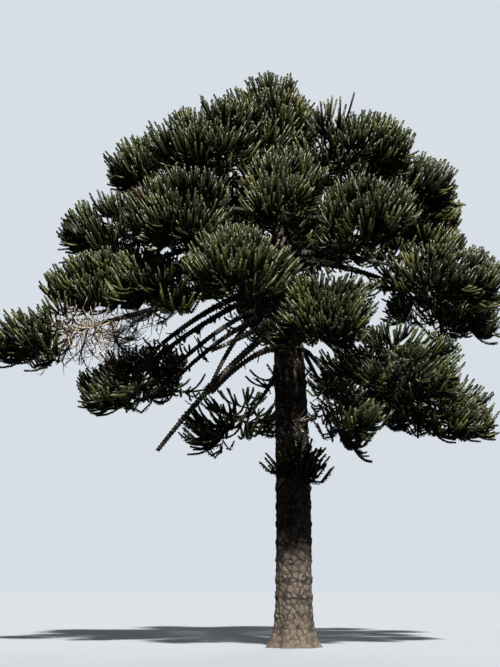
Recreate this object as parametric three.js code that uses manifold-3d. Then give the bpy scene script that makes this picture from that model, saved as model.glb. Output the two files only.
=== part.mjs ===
// Old monkey puzzle tree with an umbrella crown, in millimetres, +Z up.
// The origin is the middle of the flat cut under the trunk, at ground level.
// Turns are in degrees seen from above: 0 is +X, 90 is +Y, and 270 faces the viewer of the front.
import * as THREE from "three";
import { mergeVertices } from "three/addons/utils/BufferGeometryUtils.js";
import Module from "manifold-3d";

const wasm = await Module();
wasm.setup();

const UP = new THREE.Vector3(0, 0, 1);
const CLEARANCE = 0.3; // between pieces that touch

// The trunk: nearly a column for two thirds of its height, then tapering fast through the whorls.
const TRUNK_TOP = 13000;
const TRUNK_RADIUS = 470;
const TAPER_HEIGHT = 14400;
const TAPER_POWER = 3.2;
const TRUNK_LEAN = -400; // how far to the right the top stands
const TRUNK_SWAY = 350; // how far to the right of that line the middle is drawn
const FLARE_RADIUS = 230;
const FLARE_HEIGHT = 420; // height over which the root flare fades
const ROOT_LOBES = 7;
const LOBE_SHARE = 0.3; // of the flare, that comes and goes round the foot
const TRUNK_SIDES = 18;
const TRUNK_RINGS = [0, 150, 400, 900, 1900, 4200, 6500, 8400, 10000, 11300, 12300, TRUNK_TOP];

// A bough: thicker for a longer reach, tapering to its tip.
const BOUGH_RADIUS = 58;
const BOUGH_RADIUS_SHARE = 0.0095; // of the reach
const BOUGH_TIP_SHARE = 0.5; // of the radius at the trunk
const DEAD_SHARE = 1.25; // how much stouter a dead limb is, which has lost its thin end
const BOUGH_SIDES = 7;
const BOUGH_STEPS = 5;
const WHORL_STEP = 210; // height between one bough of a whorl and the next
const ARCH_SHARE = 0.45; // where along its reach a bough is drawn to by its rise
const ENTER_SHARE = 0.86; // of the foliage space's size, where the bough hands over to its stem

// The egg-shaped space of a foliage mass, by its width across the bough.
const TALL_SHARE = 0.9;
const LONG_SHARE = 1.4; // along the bough
const INWARD_SHARE = 0.35; // how far the space is moved in along the bough
const EDGE = 0.98; // of the space's size, where shoots stop
const SPACE_GAP = 0.03; // least lead that a point has over the next foliage's space
const LIMB_GAP = 30; // between leaves and a limb

// Foliage: a stem with twigs, and on them rope-like shoots. Twigs and shoots are spindles, each as
// thick as the spray of real shoots that it stands for. Radii run from root to tip, lean is the
// angle from the parent at its near and far end, and lift bends the tip up, as a share of the length.
const STEM = { sides: 6, steps: 3, radius: 60, beyond: 0.3 };
const TWIG = { count: 6, sides: 3, radii: [50, 95, 135, 0], shares: [0.15, 0.96], leans: [80, 25], lift: 0.3 };
const SHOOT = { count: 3, sides: 3, radii: [34, 150, 0], shares: [0.2, 0.62], leans: [75, 45], lift: 0.35 };
const GOLDEN_TURN = THREE.MathUtils.degToRad(137.5);
const WOBBLE = 0.4; // random part of a turn, in radians
const TRIES = [0.97, 0.8]; // shares of the room ahead that a spindle is tried at
const SHORTEST = 300;
const LONGEST_SHOOT = 1300;
const CROWDING = 0.65; // share of its thickness that a spindle keeps free of others
const CHECKED = [0.35, 0.5, 0.65, 0.8, 0.95]; // shares of its length where that is checked
const CORE = { nearest: 0.32, farthest: 0.54, limbGap: 120 }; // the crowded middle, by the space's size
const SEARCH_STEP = 0.02;
const SIMPLIFY = 4; // how far a fused surface may move to lose needless triangles

// Whorls of boughs from the leader down: the height of the first bough on the trunk, and the rise in
// degrees at which they leave it. Each bough gives the turn, reach and height of the middle of its
// tuft, and the width of its foliage space as a radius. A dead one has no foliage, and its middle is
// the height of its broken end. A short one has no bough, as its stem stands on the trunk, and an open
// one has no crowded middle.
const WHORLS = [
  {
    height: 12700,
    rise: 35,
    boughs: [
      { name: "upper_front_left", turn: 225, reach: 3080, middle: 12550, wide: 1380, short: true },
      { name: "upper_right", turn: 338, reach: 2180, middle: 12850, wide: 1380, short: true },
      { name: "back_top", turn: 100, reach: 2390, middle: 13140, wide: 1330, short: true },
    ],
  },
  {
    height: 12450,
    rise: 28,
    boughs: [
      { name: "upper_left", turn: 180, reach: 3850, middle: 12750, wide: 1150 },
      { name: "back_upper_right", turn: 36, reach: 4310, middle: 12070, wide: 1420 },
      { name: "back_upper_left", turn: 120, reach: 4120, middle: 12410, wide: 1420 },
    ],
  },
  {
    height: 11900,
    rise: 22,
    boughs: [
      { name: "upper_far_right", turn: 0, reach: 3560, middle: 12080, wide: 1160 },
      { name: "back", turn: 80, reach: 4610, middle: 11800, wide: 1460 },
      { name: "front", turn: 264, reach: 3210, middle: 10880, wide: 1460, short: true },
    ],
  },
  {
    height: 11350,
    rise: 14,
    boughs: [
      { name: "left", turn: 176, reach: 5150, middle: 11150, wide: 1180 },
      { name: "front_left", turn: 228, reach: 4050, middle: 10400, wide: 1450 },
      { name: "front_right", turn: 302, reach: 3440, middle: 10450, wide: 1460, short: true },
    ],
  },
  {
    height: 10800,
    rise: 6,
    boughs: [
      { name: "right", turn: 9, reach: 3910, middle: 10640, wide: 1160 },
      { name: "far_left", turn: 186, reach: 5450, middle: 9300, wide: 1170 },
      { name: "back_left", turn: 154, reach: 5750, middle: 10120, wide: 1420 },
      { name: "back_right", turn: 28, reach: 5400, middle: 9180, wide: 1380 },
    ],
  },
  {
    height: 10350,
    rise: 0,
    boughs: [
      { name: "far_right", turn: 355, reach: 4280, middle: 9460, wide: 1330 },
      { name: "inner_left", turn: 215, reach: 4100, middle: 9000, wide: 1340 },
      { name: "front_low", turn: 253, reach: 4400, middle: 8920, wide: 1240 },
      { name: "back_low", turn: 94, reach: 5200, middle: 9630, wide: 1380 },
      { name: "back_low_left", turn: 152, reach: 5600, middle: 7200, wide: 1050 },
    ],
  },
  {
    height: 9900,
    rise: -20,
    boughs: [
      { name: "long_left", turn: 188, reach: 6500, middle: 7920, wide: 1340 },
      { name: "front_low_right", turn: 283, reach: 3900, middle: 7850, wide: 1300 },
      { name: "low_left", turn: 194, reach: 4620, middle: 6480, wide: 950, open: true },
    ],
  },
  {
    height: 9200,
    rise: -25,
    boughs: [
      { name: "low_right", turn: 331, reach: 3570, middle: 6850, wide: 1200 },
      { name: "back_low_right", turn: 54, reach: 4320, middle: 7240, wide: 1280 },
    ],
  },
  {
    height: 8980,
    rise: 5,
    boughs: [{ name: "dead_upper", turn: 186, reach: 2150, middle: 6700 }],
  },
  {
    height: 8760,
    rise: -35,
    boughs: [
      { name: "broken", turn: 196, reach: 2150, middle: 7600 },
      { name: "dead", turn: 178, reach: 3530, middle: 5070 },
    ],
  },
  {
    height: 8350,
    rise: -14,
    boughs: [
      { name: "lowest_right", turn: 3, reach: 4100, middle: 6050, wide: 1260 },
      { name: "lowest_back", turn: 58, reach: 2460, middle: 5940, wide: 1180, short: true },
      { name: "hanging_right", turn: 311, reach: 2300, middle: 5850, wide: 1100, short: true },
    ],
  },
  {
    height: 7850,
    rise: -65,
    boughs: [{ name: "lowest_front", turn: 219, reach: 2340, middle: 5450, wide: 1120, open: true }],
  },
  {
    height: 7780,
    rise: 5,
    boughs: [{ name: "dead_lower", turn: 170, reach: 2150, middle: 6620 }],
  },
  {
    height: 5000,
    rise: 0,
    boughs: [{ name: "skirt", turn: 280, reach: 900, middle: 4650, wide: 1020, short: true, open: true }],
  },
];
const LEADER = { name: "top", middle: 13850, wide: 1500, radius: 100 };

const bark = new THREE.MeshStandardMaterial({ color: 0x5b5148, roughness: 0.95, metalness: 0 });
const greens = new THREE.MeshStandardMaterial({ color: 0x3d4a22, roughness: 0.7, metalness: 0 });

// Seeded random numbers from 0 to 1, the same on every run.
function randomFrom(seed) {
  let state = seed >>> 0;
  return () => {
    state = (Math.imul(state, 1664525) + 1013904223) >>> 0;
    return state / 2 ** 32;
  };
}

// Merged geometry with positions only, which a boolean needs.
function bareGeometry(geometry) {
  geometry.deleteAttribute("uv");
  geometry.deleteAttribute("normal");
  return mergeVertices(geometry, 1e-4);
}

// Moves the rings of an upright cylinder or cone, 1 high, onto a curve, each with its own radius.
function alongCurve(upright, curve, steps, radiusAt) {
  const geometry = bareGeometry(upright);
  const { normals, binormals } = curve.computeFrenetFrames(steps, false);
  const position = geometry.getAttribute("position");
  for (let i = 0; i < position.count; i++) {
    const ring = Math.round((position.getY(i) + 0.5) * steps);
    const around = Math.atan2(position.getZ(i), position.getX(i));
    const isMiddle = Math.hypot(position.getX(i), position.getZ(i)) < 1e-4;
    const radius = isMiddle ? 0 : radiusAt(ring / steps);
    const point = curve
      .getPointAt(ring / steps)
      .addScaledVector(normals[ring], Math.cos(around) * radius)
      .addScaledVector(binormals[ring], -Math.sin(around) * radius);
    position.setXYZ(i, point.x, point.y, point.z);
  }
  return geometry;
}

// A closed tube on a curve, tapering evenly to a flat end.
function tube(curve, first, last, sides, steps) {
  const upright = new THREE.CylinderGeometry(1, 1, 1, sides, steps);
  return alongCurve(upright, curve, steps, (share) => THREE.MathUtils.lerp(first, last, share));
}

// A closed spindle on a curve, which ends in a point.
function spindle(curve, { sides, radii }) {
  const steps = radii.length - 1;
  const upright = new THREE.ConeGeometry(1, 1, sides, steps);
  return alongCurve(upright, curve, steps, (share) => radii[Math.round(share * steps)]);
}

function toSolid(geometry) {
  return new wasm.Manifold(
    new wasm.Mesh({
      numProp: 3,
      vertProperties: geometry.getAttribute("position").array,
      triVerts: new Uint32Array(geometry.index.array),
    }),
  );
}

function toGeometry(solid) {
  const mesh = solid.getMesh();
  const geometry = new THREE.BufferGeometry();
  geometry.setAttribute("position", new THREE.BufferAttribute(mesh.vertProperties, 3));
  geometry.setIndex(new THREE.BufferAttribute(mesh.triVerts, 1));
  return geometry;
}

// The largest body of a solid: loose scraps and sealed hollows are left behind.
function mainBody(solid) {
  return solid.decompose().reduce((a, b) => (b.volume() > a.volume() ? b : a));
}

// The trunk's middle line and its radius at a height.
const trunkLine = new THREE.QuadraticBezierCurve3(
  new THREE.Vector3(0, 0, 0),
  new THREE.Vector3(TRUNK_LEAN / 2 + TRUNK_SWAY, 0, TRUNK_TOP / 2),
  new THREE.Vector3(TRUNK_LEAN, 0, TRUNK_TOP),
);
const trunkMiddle = (height) => trunkLine.getPoint(height / TRUNK_TOP);
const trunkRadius = (height) => TRUNK_RADIUS * (1 - (height / TAPER_HEIGHT) ** TAPER_POWER);
const flareRadius = (height) => FLARE_RADIUS * Math.exp(-height / FLARE_HEIGHT);

// The trunk as level rings: a root flare with lobes below, and a flat cut at the ground.
function trunkGeometry(grow) {
  const steps = TRUNK_RINGS.length - 1;
  const geometry = bareGeometry(new THREE.CylinderGeometry(1, 1, 1, TRUNK_SIDES, steps));
  const position = geometry.getAttribute("position");
  for (let i = 0; i < position.count; i++) {
    const height = TRUNK_RINGS[Math.round((position.getY(i) + 0.5) * steps)];
    const across = position.getX(i);
    const away = -position.getZ(i);
    const lobes = 1 + LOBE_SHARE * Math.cos(ROOT_LOBES * Math.atan2(away, across));
    const radius = trunkRadius(height) + flareRadius(height) * lobes + grow;
    const middle = trunkMiddle(height);
    position.setXYZ(i, middle.x + across * radius, middle.y + away * radius, height);
  }
  return geometry;
}

// Unit vector at a turn, level with the ground.
function outward(turn) {
  const angle = THREE.MathUtils.degToRad(turn);
  return new THREE.Vector3(Math.cos(angle), Math.sin(angle), 0);
}

// A point's distance from the middle of a foliage space, where 1 is the edge.
function reachIn({ out, middle, long, wide, tall }, point) {
  const x = point.x - middle.x;
  const y = point.y - middle.y;
  const along = (x * out.x + y * out.y) / long;
  const across = (y * out.x - x * out.y) / wide;
  return Math.hypot(along, across, (point.z - middle.z) / tall);
}

// One limb of a whorl: its whole line from the trunk to the middle of its tuft, its foliage's space,
// and the share of the line where it enters that space.
function planLimb(whorl, bough, place) {
  const { name, wide, short, open } = bough;
  const start = trunkMiddle(whorl.height - place * WHORL_STEP);
  const out = outward(bough.turn);
  const end = out.clone().multiplyScalar(bough.reach).setZ(bough.middle);
  const arch = bough.reach * ARCH_SHARE;
  const bend = start.clone().addScaledVector(out, arch);
  bend.z += arch * Math.tan(THREE.MathUtils.degToRad(whorl.rise));
  const line = new THREE.QuadraticBezierCurve3(start, bend, end);
  const radius = BOUGH_RADIUS + BOUGH_RADIUS_SHARE * bough.reach;
  if (!wide) return { name, line, radius: radius * DEAD_SHARE, enter: 1 };
  const middle = end.clone().addScaledVector(out, -INWARD_SHARE * wide);
  const space = { out, middle, long: wide * LONG_SHARE, wide, tall: wide * TALL_SHARE };
  let enter = short ? 0 : 1;
  while (enter > 0 && reachIn(space, line.getPoint(enter)) < ENTER_SHARE) enter -= SEARCH_STEP / 4;
  return { name, open, line, radius, space, enter };
}

// The leader's foliage, whose stem stands on the trunk's top.
function planLeader() {
  const { name, wide, radius } = LEADER;
  const start = trunkMiddle(TRUNK_TOP);
  const middle = start.clone().setZ(LEADER.middle);
  const line = new THREE.QuadraticBezierCurve3(start, start.clone().lerp(middle, 0.5), middle);
  const space = { out: outward(0), middle, long: wide, wide, tall: wide * TALL_SHARE };
  return { name, line, radius, space, enter: 0 };
}

// The two parts of a curve before and after a share of it.
function splitCurve(curve, share) {
  const cut = curve.getPoint(share);
  const near = curve.v0.clone().lerp(curve.v1, share);
  const far = curve.v1.clone().lerp(curve.v2, share);
  return [
    new THREE.QuadraticBezierCurve3(curve.v0, near, cut),
    new THREE.QuadraticBezierCurve3(cut, far, curve.v2),
  ];
}

// Gives a limb its bough's line up to the foliage, and its stem's line from there on.
function splitLimb(limb) {
  limb.tipRadius = limb.enter === 0 ? limb.radius : limb.radius * BOUGH_TIP_SHARE;
  const [boughLine, rest] = splitCurve(limb.line, limb.enter);
  if (limb.enter > 0) limb.boughLine = boughLine;
  if (!limb.space) return;
  const gap = rest.getTangent(0).setLength(CLEARANCE);
  const onward = rest.getTangent(1).setLength(limb.space.wide * STEM.beyond);
  const start = rest.v0.clone().add(gap);
  limb.stemLine = new THREE.QuadraticBezierCurve3(start, rest.v1, rest.v2.clone().add(onward));
}

const limbs = [planLeader()];
for (const whorl of WHORLS) {
  whorl.boughs.forEach((bough, place) => limbs.push(planLimb(whorl, bough, place)));
}
limbs.forEach(splitLimb);

// What leaves and twigs keep clear of: points along the trunk and every limb, with the radius there.
const OBSTACLE_STEP = 100;
const obstacles = [];
function addObstacles(owner, line, radiusAt) {
  const steps = Math.ceil(line.getLength() / OBSTACLE_STEP);
  for (let i = 0; i <= steps; i++) {
    const spot = line.getPointAt(i / steps);
    obstacles.push({ owner, spot, radius: radiusAt(i / steps, spot) });
  }
}
addObstacles("trunk", trunkLine, (share, spot) => trunkRadius(spot.z) + flareRadius(spot.z));
for (const { name, boughLine, stemLine, radius, tipRadius } of limbs) {
  const taper = (share) => THREE.MathUtils.lerp(radius, tipRadius, share);
  if (boughLine) addObstacles("bough", boughLine, taper);
  if (stemLine) addObstacles(name, stemLine, () => tipRadius);
}

// Whether a point of a limb's foliage lies in its own space, by more than a margin.
function isInSpace(limb, point, margin) {
  const here = reachIn(limb.space, point);
  if (here > EDGE) return false;
  return limbs.every(({ space }) => {
    return !space || space === limb.space || reachIn(space, point) > here + SPACE_GAP + margin / space.wide;
  });
}

// Whether a point of a limb's foliage keeps its distance from every other limb.
function isClear(limb, point, distance) {
  return obstacles.every(({ owner, spot, radius }) => {
    return owner === limb.name || spot.distanceTo(point) > radius + distance;
  });
}

// Whether a spindle keeps to its space, and clear of limbs and of what has already grown there.
function fits(limb, line, radius, grown) {
  return CHECKED.every((share) => {
    const point = line.getPointAt(share);
    if (!isInSpace(limb, point, radius) || !isClear(limb, point, radius + LIMB_GAP)) return false;
    return grown.every((other) => other.point.distanceTo(point) > other.room + radius * CROWDING);
  });
}

// A line that leaves a parent in a direction and bends up.
function bendingLine(start, direction, length, lift) {
  const bend = start.clone().addScaledVector(direction, length * 0.55);
  const end = start.clone().addScaledVector(direction, length * 0.9).addScaledVector(UP, length * lift);
  return new THREE.QuadraticBezierCurve3(start, bend, end);
}

// How long a bending line can be before it leaves the space.
function roomAhead(space, start, direction, { lift }) {
  const step = space.wide * SEARCH_STEP;
  let length = 0;
  while (reachIn(space, bendingLine(start, direction, length + step, lift).v2) < EDGE) length += step;
  return length;
}

// The direction that leans from a parent's tangent by an angle, turned round it.
function leaning(tangent, lean, turn) {
  const side = new THREE.Vector3().crossVectors(tangent, UP);
  if (side.length() < 0.1) side.set(1, 0, 0);
  side.normalize().applyAxisAngle(tangent, turn);
  return tangent.clone().multiplyScalar(Math.cos(lean)).addScaledVector(side, Math.sin(lean)).normalize();
}

// The growth rule: spindles leave a parent line one golden turn after another, leaning less towards
// its end. Each is tried at its full length and then shorter, and skipped if it doesn't fit.
function growAlong(limb, parent, kind, longest, random, grown) {
  const made = [];
  const first = random() * 2 * Math.PI;
  const radius = Math.max(...kind.radii);
  for (let k = 0; k < kind.count; k++) {
    const place = (k + 0.5) / kind.count;
    const start = parent.getPointAt(THREE.MathUtils.lerp(...kind.shares, place));
    const tangent = parent.getTangentAt(THREE.MathUtils.lerp(...kind.shares, place));
    const lean = THREE.MathUtils.degToRad(THREE.MathUtils.lerp(...kind.leans, place));
    const turn = first + k * GOLDEN_TURN + (random() - 0.5) * WOBBLE;
    const direction = leaning(tangent, lean, turn);
    const room = Math.min(roomAhead(limb.space, start, direction, kind), longest);
    const lengths = TRIES.map((share) => room * share).filter((length) => length > SHORTEST);
    const lines = lengths.map((length) => bendingLine(start, direction, length, kind.lift));
    const line = lines.find((candidate) => fits(limb, candidate, radius, grown));
    if (!line) continue;
    made.push(line);
    for (const share of CHECKED) grown.push({ point: line.getPointAt(share), room: radius * CROWDING });
  }
  return made;
}

// The crowded middle of a dense mass, drawn in where its space or the limbs leave less room.
function coreGeometry(limb, random) {
  const geometry = bareGeometry(new THREE.IcosahedronGeometry(1, 0));
  const position = geometry.getAttribute("position");
  const { out, middle, long, wide, tall } = limb.space;
  const across = new THREE.Vector3(-out.y, out.x, 0);
  for (let i = 0; i < position.count; i++) {
    const ray = out.clone().multiplyScalar(position.getX(i) * long);
    ray.addScaledVector(across, position.getY(i) * wide).addScaledVector(UP, position.getZ(i) * tall);
    const pointAt = (share) => middle.clone().addScaledVector(ray, share);
    const farthest = THREE.MathUtils.lerp(CORE.nearest, CORE.farthest, random());
    let share = 0;
    while (
      share < farthest &&
      isInSpace(limb, pointAt(share + SEARCH_STEP), 0) &&
      isClear(limb, pointAt(share + SEARCH_STEP), CORE.limbGap)
    ) {
      share += SEARCH_STEP;
    }
    position.setXYZ(i, ...pointAt(share));
  }
  return geometry;
}

// One mass of foliage: stem, twigs, shoots and crowded middle fused into one solid.
function growFoliage(limb, seed) {
  const random = randomFrom(seed);
  const grown = [];
  const twigs = growAlong(limb, limb.stemLine, TWIG, Infinity, random, grown);
  const shoots = twigs.flatMap((twig) => growAlong(limb, twig, SHOOT, LONGEST_SHOOT, random, grown));
  const geometries = [tube(limb.stemLine, limb.tipRadius, STEM.radius, STEM.sides, STEM.steps)];
  geometries.push(...twigs.map((twig) => spindle(twig, TWIG)));
  geometries.push(...shoots.map((shoot) => spindle(shoot, SHOOT)));
  if (!limb.open) geometries.push(coreGeometry(limb, random));
  const fused = mainBody(wasm.Manifold.union(geometries.map(toSolid)));
  return fused.asOriginal().simplify(SIMPLIFY);
}

const tree = new THREE.Group();
function addNode(name, solid, material) {
  const mesh = new THREE.Mesh(toGeometry(solid), material);
  mesh.name = name;
  tree.add(mesh);
}

addNode("trunk", toSolid(trunkGeometry(0)), bark);
const trunkCutter = toSolid(trunkGeometry(CLEARANCE));
for (const [index, limb] of limbs.entries()) {
  if (limb.boughLine) {
    const bough = toSolid(tube(limb.boughLine, limb.radius, limb.tipRadius, BOUGH_SIDES, BOUGH_STEPS));
    addNode("bough_" + limb.name, mainBody(bough.subtract(trunkCutter)), bark);
  }
  if (limb.space) {
    const foliage = growFoliage(limb, index + 1);
    addNode("foliage_" + limb.name, mainBody(foliage.subtract(trunkCutter)), greens);
  }
}

export default tree;
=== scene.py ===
# %% [markdown]
# # An old monkey puzzle tree
# The tree carries an umbrella of rope-like, leafy shoots on long bare boughs, high on one trunk.
# Everything below is in metres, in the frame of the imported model: the origin is the middle of the
# flat cut at the ground, Z is up, and the photograph looks along Y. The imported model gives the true
# trunk, boughs and outline of each mass of foliage. This script dresses it: bark with relief, and
# twigs, shoots and leaves that grow by the same rule as the solids, carried to finer sizes.

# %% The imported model
import math

import bmesh
import bpy
import numpy as np
from numpy.linalg import norm
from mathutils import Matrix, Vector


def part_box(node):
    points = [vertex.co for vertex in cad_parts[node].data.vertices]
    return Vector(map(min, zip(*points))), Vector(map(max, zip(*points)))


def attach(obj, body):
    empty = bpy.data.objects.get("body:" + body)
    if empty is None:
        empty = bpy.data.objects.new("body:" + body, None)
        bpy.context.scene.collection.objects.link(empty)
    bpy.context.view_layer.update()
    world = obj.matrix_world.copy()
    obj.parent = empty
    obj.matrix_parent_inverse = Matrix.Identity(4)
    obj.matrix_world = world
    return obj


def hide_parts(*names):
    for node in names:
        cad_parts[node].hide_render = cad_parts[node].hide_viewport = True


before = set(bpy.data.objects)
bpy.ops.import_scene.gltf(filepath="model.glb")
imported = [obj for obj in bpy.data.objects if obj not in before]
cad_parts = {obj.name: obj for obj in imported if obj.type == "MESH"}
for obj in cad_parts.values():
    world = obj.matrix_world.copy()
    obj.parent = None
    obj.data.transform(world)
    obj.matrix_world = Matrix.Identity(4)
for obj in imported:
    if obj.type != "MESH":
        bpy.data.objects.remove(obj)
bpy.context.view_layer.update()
UP = np.array([0.0, 0.0, 1.0])
FULL_TURN = 2 * math.pi

# %% [markdown]
# ## Camera, light and floor
# The photograph looks up at the tree from far off, so a long lens stands 34 m away at eye height and
# is tilted up. A low camera also keeps the floor to a narrow strip. The photograph's sun stands high
# in front of the tree, and so does one hard lamp here, a little to the right. A faint lamp softens
# its shadows and one from behind draws the crown's edge. The pale world shows behind the tree, and
# hardly lights it. The floor sends no light back up, so the undersides of the boughs stay dark.

# %% Camera, light and floor
CAMERA_PLACE = (0.0, -34.0, 1.6)
CAMERA_TILT = 10.9
CAMERA_TURN = 1.8548
CAMERA_LENS = 70.0
CAMERA_SIGHT = 500.0

bpy.ops.object.camera_add(
    location=CAMERA_PLACE,
    rotation=(math.radians(90 + CAMERA_TILT), 0, math.radians(CAMERA_TURN)),
)
camera = bpy.context.object
camera.data.lens = CAMERA_LENS
camera.data.clip_end = CAMERA_SIGHT
bpy.context.scene.camera = camera

SUN_LAMPS = [
    ("key_lamp", (42, 0, 12), 11.6, 3.0, (1.0, 0.97, 0.92)),
    ("fill_lamp", (58, 0, 50), 0.15, 40.0, (0.86, 0.92, 1.0)),
    ("rim_lamp", (50, 0, 165), 1.4, 30.0, (1.0, 1.0, 1.0)),
]
for name, turns, strength, softness, tint in SUN_LAMPS:
    bpy.ops.object.light_add(type="SUN", rotation=[math.radians(turn) for turn in turns])
    lamp = bpy.context.object
    lamp.name = name
    lamp.data.energy = strength
    lamp.data.angle = math.radians(softness)
    lamp.data.color = tint

WORLD_COLOUR = (0.80, 0.86, 0.93, 1)
WORLD_LIGHT = 0.08
WORLD_SEEN = 0.85

world = bpy.data.worlds.new("pale_studio")
world.use_nodes = True
background = world.node_tree.nodes["Background"]
background.inputs["Color"].default_value = WORLD_COLOUR
seen = world.node_tree.nodes.new("ShaderNodeLightPath").outputs["Is Camera Ray"]
brightness = world.node_tree.nodes.new("ShaderNodeMapRange")
brightness.inputs["To Min"].default_value = WORLD_LIGHT
brightness.inputs["To Max"].default_value = WORLD_SEEN
world.node_tree.links.new(seen, brightness.inputs["Value"])
world.node_tree.links.new(brightness.outputs["Result"], background.inputs["Strength"])
bpy.context.scene.world = world
bpy.context.scene.view_settings.view_transform = "Standard"

FLOOR_SIZE = 400.0
bpy.ops.mesh.primitive_plane_add(size=FLOOR_SIZE, location=(0, 0, 0))
floor = bpy.context.object
floor.name = "floor"
floor.visible_diffuse = False
floor.visible_glossy = False

# %% [markdown]
# ## Shader maths
# A finish is a small tree of nodes. To read like a formula, a socket is wrapped in a class that
# turns + and * into Math nodes, and one method makes any other node.


# %% Sockets that can be added and multiplied
class Socket:
    """A node's output, with the operators that the finishes use."""

    def __init__(self, finish, link):
        self.finish = finish
        self.link = link

    def maths(self, operation, other):
        settings = {"operation": operation}
        return self.finish.node("ShaderNodeMath", settings, {0: self, 1: other})

    def __add__(self, other):
        return self.maths("ADD", other)

    def __mul__(self, other):
        return self.maths("MULTIPLY", other)


class Finish:
    """One material: its nodes, and its Principled shader."""

    def __init__(self, name, roughness):
        self.material = bpy.data.materials.new(name)
        self.material.use_nodes = True
        self.nodes = self.material.node_tree.nodes
        self.shader = self.nodes["Principled BSDF"]
        self.shader.inputs["Roughness"].default_value = roughness

    def put(self, socket, value):
        if isinstance(value, Socket):
            self.material.node_tree.links.new(value.link, socket)
        else:
            socket.default_value = value

    def node(self, kind, settings, inputs, output=0):
        """Adds a node, with its settings first, then the values or links of its sockets."""
        made = self.nodes.new(kind)
        for name, value in settings.items():
            setattr(made, name, value)
        for name, value in inputs.items():
            self.put(made.inputs[name], value)
        return Socket(self, made.outputs[output])

    def feed(self, name, value):
        self.put(self.shader.inputs[name], value)

    def place(self, stretch=(1, 1, 1)):
        coordinates = self.node("ShaderNodeTexCoord", {}, {}, output="Object")
        return self.node("ShaderNodeMapping", {}, {"Vector": coordinates, "Scale": stretch})

    def noise(self, place, scale, detail=3.0):
        sockets = {"Vector": place, "Scale": scale, "Detail": detail}
        return self.node("ShaderNodeTexNoise", {}, sockets, output="Fac")

    def kept(self, name):
        """A number that is kept with each point of the piece."""
        return self.node("ShaderNodeAttribute", {"attribute_name": name}, {}, output="Fac")

    def steps(self, value, low, high):
        """0 below low and 1 above high, with an even slope between."""
        sockets = {"Value": value, "From Min": low, "From Max": high}
        return self.node("ShaderNodeMapRange", {}, sockets)

    def mix(self, share, first, second):
        """A colour between two: the sockets 6 and 7 are the colours of a Mix node."""
        settings = {"data_type": "RGBA"}
        return self.node("ShaderNodeMix", settings, {0: share, 6: first, 7: second}, output=2)

    def bump(self, height, distance, strength):
        sockets = {"Height": height, "Distance": distance, "Strength": strength}
        self.feed("Normal", self.node("ShaderNodeBump", {}, sockets))


def colour(red, green, blue):
    """A colour as a screen shows it, from 0 to 255, for a shader."""
    shares = [value / 255 for value in (red, green, blue)]
    return [s / 12.92 if s <= 0.04045 else ((s + 0.055) / 1.055) ** 2.4 for s in shares] + [1]


FLOOR_TONES = ((0.22, 0.24, 0.26, 1), (0.24, 0.26, 0.28, 1))

floor_finish = Finish("studio_floor", roughness=1.0)
floor_finish.feed("Specular IOR Level", 0.0)
cloudy = floor_finish.noise(floor_finish.place(), scale=0.15)
floor_finish.feed("Base Color", floor_finish.mix(cloudy, *FLOOR_TONES))
floor.data.materials.append(floor_finish.material)

# %% [markdown]
# ## The survey of the tree
# The solids were worked out from a survey: for each whorl its height on the trunk and the rise of its
# boughs, and for each bough the turn, reach and middle height of its tuft, and the width of its
# foliage as a radius. A short one is all stem, with no bare bough before its foliage, and an open
# one has few shoots. A growth rule can only carry on where the solids stop if it starts from the
# same survey, so it is repeated here in metres.

# %% The survey
TRUNK_TOP = 13.0
TRUNK_RADIUS = 0.47
TAPER_HEIGHT = 14.4
TAPER_POWER = 3.2
TRUNK_LEAN = -0.4
TRUNK_SWAY = 0.35
FLARE_RADIUS = 0.23
FLARE_HEIGHT = 0.42
ROOT_LOBES = 7
LOBE_SHARE = 0.3

BOUGH_RADIUS = 0.058
BOUGH_RADIUS_SHARE = 0.0095
BOUGH_TIP_SHARE = 0.5
DEAD_SHARE = 1.25
WHORL_STEP = 0.21
ARCH_SHARE = 0.45
ENTER_SHARE = 0.86
TALL_SHARE = 0.9
LONG_SHARE = 1.4
INWARD_SHARE = 0.35
STEM_BEYOND = 0.3
DROOPING_RISE = -14

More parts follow.
